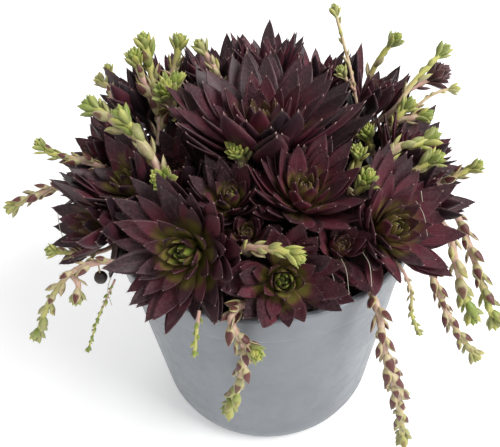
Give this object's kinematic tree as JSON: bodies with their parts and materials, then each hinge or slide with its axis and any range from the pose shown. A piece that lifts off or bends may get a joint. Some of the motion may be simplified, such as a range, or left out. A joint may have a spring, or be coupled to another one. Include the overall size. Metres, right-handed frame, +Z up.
{
  "type": "potted houseleek",
  "caption": "Clump of dark purple houseleek rosettes with trailing runners and young green rosettes in a round tapered plastic nursery pot.",
  "frame": {"origin": "centre of the pot's flat foot, on the surface that the pot stands on", "axes": "+Z up along the pot's axis; -Y towards the side with the two large front rosettes; +X to the right of that view"},
  "size_m": [0.2156, 0.1788, 0.176],
  "materials": {
    "pot_plastic": "satin cool grey moulded plastic",
    "potting_soil": "matte dark brown potting mix",
    "houseleek_leaf": "satin fleshy leaf, dark purple with paler tips and green hearts",
    "runner": "satin cream stem with red-brown scales and yellow-green buds",
    "dark_offset": "satin dark brown young rosette on a pink stalk"
  },
  "bodies": {
    "root": {"pot": "pot_plastic", "potting_soil": "potting_soil", "rosette_top": "houseleek_leaf", "rosette_front_left": "houseleek_leaf", "rosette_middle": "houseleek_leaf", "rosette_ball": "houseleek_leaf", "rosette_front": "houseleek_leaf", "rosette_right": "houseleek_leaf", "rosette_left_inner": "houseleek_leaf", "rosette_left": "houseleek_leaf", "rosette_back_left": "houseleek_leaf", "rosette_back_left_small": "houseleek_leaf", "rosette_back_right": "houseleek_leaf", "rosette_right_far": "houseleek_leaf", "rosette_right_low": "houseleek_leaf", "rosette_small_right": "houseleek_leaf", "rosette_small_middle": "houseleek_leaf", "rosette_sky_left": "houseleek_leaf", "rosette_sky_middle": "houseleek_leaf", "rosette_sky_right": "houseleek_leaf", "rosette_rear_left": "houseleek_leaf", "rosette_rear": "houseleek_leaf", "rosette_rear_right": "houseleek_leaf", "rosette_rear_far_right": "houseleek_leaf", "rosette_left_low": "houseleek_leaf", "rosette_mid_left": "houseleek_leaf", "rosette_gap_left": "houseleek_leaf", "runner_tall_back_left": "runner", "runner_small_far_left": "runner", "runner_brown_far_left": "runner", "runner_thick_left": "runner", "runner_cluster_left": "runner", "runner_skyline_left": "runner", "runner_beads": "runner", "runner_high_left": "runner", "runner_low_left": "runner", "runner_side_left": "runner", "runner_hanging_left": "runner", "runner_hanging_front": "runner", "runner_hanging_right": "runner", "runner_thin_right": "runner", "runner_lower_right": "runner", "runner_middle_right": "runner", "runner_outer_right": "runner", "runner_short_right": "runner", "runner_long_right": "runner", "runner_skyline_right": "runner", "runner_tallest": "runner", "runner_green_head": "runner", "runner_yellow_head": "runner", "runner_yellow_arm": "runner", "runner_fork": "runner", "runner_pink_arm": "runner", "runner_arm_right": "runner", "runner_reach_right": "runner", "runner_over_front": "runner", "runner_top_bud": "runner", "runner_dark_offset": "dark_offset", "runner_rear": "runner", "runner_rear_left": "runner"}
  },
  "joints": []
}
